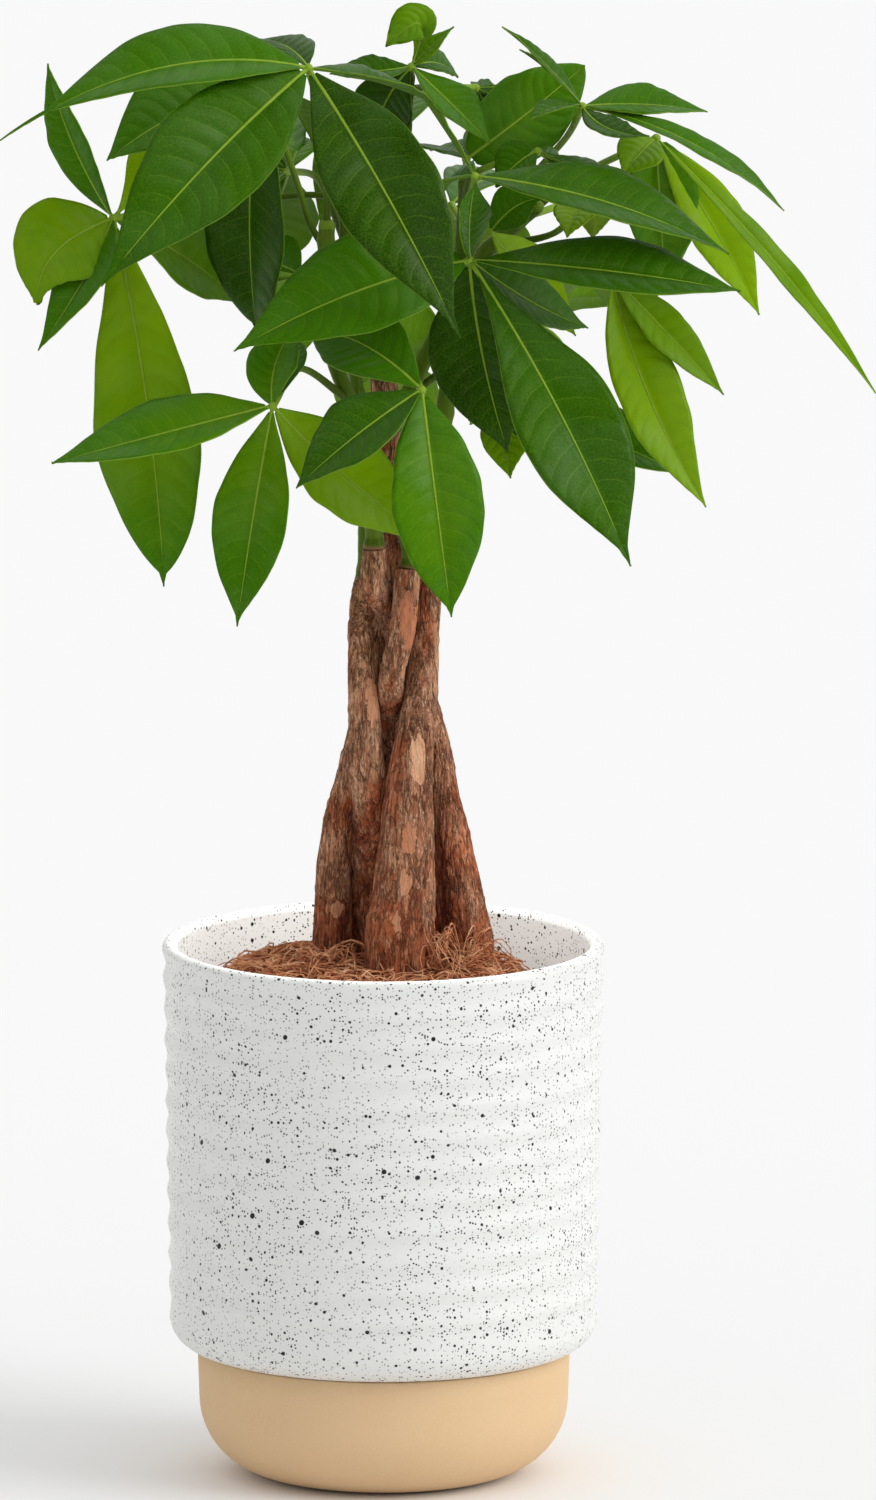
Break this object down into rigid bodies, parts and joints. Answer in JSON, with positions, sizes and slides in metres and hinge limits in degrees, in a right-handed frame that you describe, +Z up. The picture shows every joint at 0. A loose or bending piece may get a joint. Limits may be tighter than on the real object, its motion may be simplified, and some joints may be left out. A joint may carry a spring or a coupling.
{
  "type": "potted money tree",
  "caption": "Braided indoor tree with palmate leaves, standing in a ribbed two-tone ceramic planter.",
  "frame": {"origin": "centre of the pot's flat foot, on the surface it stands on", "axes": "+Z up along the trunks, -Y the front of the plant, +X to its right"},
  "size_m": [0.2955, 0.2581, 0.5048],
  "materials": {
    "white_glaze": "satin white glaze with dense black and grey specks",
    "tan_clay": "smooth matte tan",
    "coir": "matted coir fibre and peat",
    "bark": "brown bark with fine cracks and peeled orange patches",
    "green_stem": "young green stem, satin",
    "leaf": "satin green blade with a pale midrib and quilted side veins"
  },
  "bodies": {
    "root": {"pot_body": "white_glaze", "pot_base": "tan_clay", "root_ball": "coir", "trunk_1": "bark", "trunk_2": "bark", "trunk_3": "bark", "trunk_4": "bark", "trunk_5": "bark", "shoot_1": "green_stem", "shoot_2": "green_stem", "shoot_3": "green_stem", "shoot_4": "green_stem", "shoot_5": "green_stem", "leaf_01": "leaf", "leaf_02": "leaf", "leaf_03": "leaf", "leaf_04": "leaf", "leaf_05": "leaf", "leaf_06": "leaf", "leaf_07": "leaf", "leaf_08": "leaf", "leaf_09": "leaf", "leaf_10": "leaf", "leaf_11": "leaf", "leaf_12": "leaf", "leaf_13": "leaf", "leaf_14": "leaf", "leaf_15": "leaf", "leaf_16": "leaf", "leaf_17": "leaf", "leaf_18": "leaf", "leaf_19": "leaf", "leaf_20": "leaf", "leaf_21": "leaf", "leaf_22": "leaf", "leaf_23": "leaf", "leaf_24": "leaf"}
  },
  "joints": []
}
